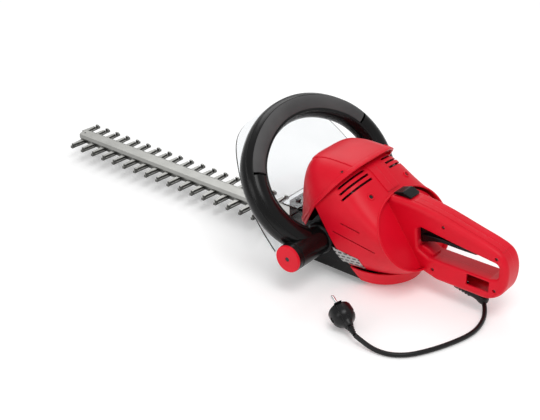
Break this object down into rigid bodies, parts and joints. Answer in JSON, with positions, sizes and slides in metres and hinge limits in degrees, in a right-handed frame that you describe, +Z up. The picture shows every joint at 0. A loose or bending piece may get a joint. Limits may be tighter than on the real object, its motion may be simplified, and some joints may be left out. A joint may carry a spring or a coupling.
{
  "type": "hedge trimmer",
  "caption": "Corded hedge trimmer with a double-sided blade, a loop front handle with a clear guard, a red motor housing and a D-shaped rear handle with a trigger.",
  "frame": {"origin": "centre of the round flat rest face under the motor, on the tool's middle plane", "axes": "+X along the blade to its tip, +Y to the tool's left, +Z up"},
  "size_m": [0.8425, 0.3319, 0.2136],
  "materials": {
    "red_plastic": "satin moulded",
    "black_plastic": "fine grained",
    "grip_strip": "soft matt",
    "clear_plastic": "clear polished",
    "ground_steel": "ground",
    "dark_steel": "oiled",
    "zinc_screw": "zinc plated",
    "gear_steel": "cut",
    "laminations": "stacked sheet",
    "copper": "enamelled wire",
    "fan_plastic": "moulded",
    "switch_plastic": "moulded",
    "label_metal": "satin",
    "lead_rubber": "matt",
    "plug_plastic": "moulded",
    "pin_chrome": "nickel plated"
  },
  "bodies": {
    "housing": {"guard_comb": "dark_steel", "blade_rail": "ground_steel", "rail_bolts": "zinc_screw", "rail_spacers": "gear_steel", "gear_shaft_bearing": "gear_steel", "motor_lower_bearing": "gear_steel", "motor_upper_bearing": "gear_steel", "motor_stator": "laminations", "field_coils": "copper", "brush_holders": "copper", "bearing_bridge": "black_plastic", "motor_casing_left": "red_plastic", "motor_casing_right": "red_plastic", "bottom_pan": "red_plastic", "hood_cover": "red_plastic", "gear_case_upper": "black_plastic", "gear_case_lower_cover": "black_plastic", "loop_front_half": "black_plastic", "loop_rear_half": "black_plastic", "loop_trim_left": "grip_strip", "loop_trim_right": "grip_strip", "side_hub_left": "black_plastic", "side_hub_right": "black_plastic", "end_cap_left": "red_plastic", "end_cap_right": "red_plastic", "cap_screws": "zinc_screw", "clear_guard": "clear_plastic", "guard_screws": "zinc_screw", "rear_handle_left": "red_plastic", "rear_handle_right": "red_plastic", "handle_screws": "zinc_screw", "trigger_pin": "gear_steel", "switch_module": "switch_plastic", "side_label": "label_metal", "cord_gland": "lead_rubber", "cord": "lead_rubber", "plug_body": "plug_plastic", "plug_pins": "pin_chrome"},
    "rotor": {"motor_shaft": "gear_steel", "motor_pinion": "gear_steel", "motor_armature": "laminations", "commutator": "copper", "cooling_fan": "fan_plastic"},
    "drive": {"drive_gear": "gear_steel", "crank_pin": "gear_steel", "gear_shaft": "gear_steel"},
    "cutter": {"cutter_blade": "dark_steel"},
    "trigger": {"trigger": "black_plastic"},
    "lock_button": {"lock_button": "black_plastic"},
    "front_switch": {"front_switch_strip": "grip_strip"}
  },
  "joints": [
    {"name": "rotor_spin", "type": "hinge", "parent": "housing", "child": "rotor", "pos_m": [0.03, 0, 0.087], "axis": [0, 0, 1], "continuous": true},
    {"name": "drive_spin", "type": "hinge", "parent": "housing", "child": "drive", "pos_m": [0.07, 0, 0.04], "axis": [0, 0, 1], "continuous": true},
    {"name": "cutter_slide", "type": "slide", "parent": "housing", "child": "cutter", "axis": [1, 0, 0], "range_m": [-0.013, 0.007]},
    {"name": "trigger_squeeze", "type": "hinge", "parent": "housing", "child": "trigger", "pos_m": [-0.15, 0, 0.094], "axis": [0, -1, 0], "range_deg": [0, 5.5], "stiffness_Nm_per_rad": 0.4, "springref_deg": -4.58},
    {"name": "lock_slide", "type": "slide", "parent": "housing", "child": "lock_button", "axis": [1, 0, 0], "range_m": [0, 0.0045], "stiffness_N_per_m": 150, "springref_m": -0.002},
    {"name": "front_switch_press", "type": "slide", "parent": "housing", "child": "front_switch", "axis": [0.7604, 0, -0.6494], "range_m": [0, 0.003], "stiffness_N_per_m": 600, "springref_m": -0.004}
  ],
  "couplings": [
    {"joint": "drive_spin", "follows": "rotor_spin", "ratio": -0.14286}
  ]
}
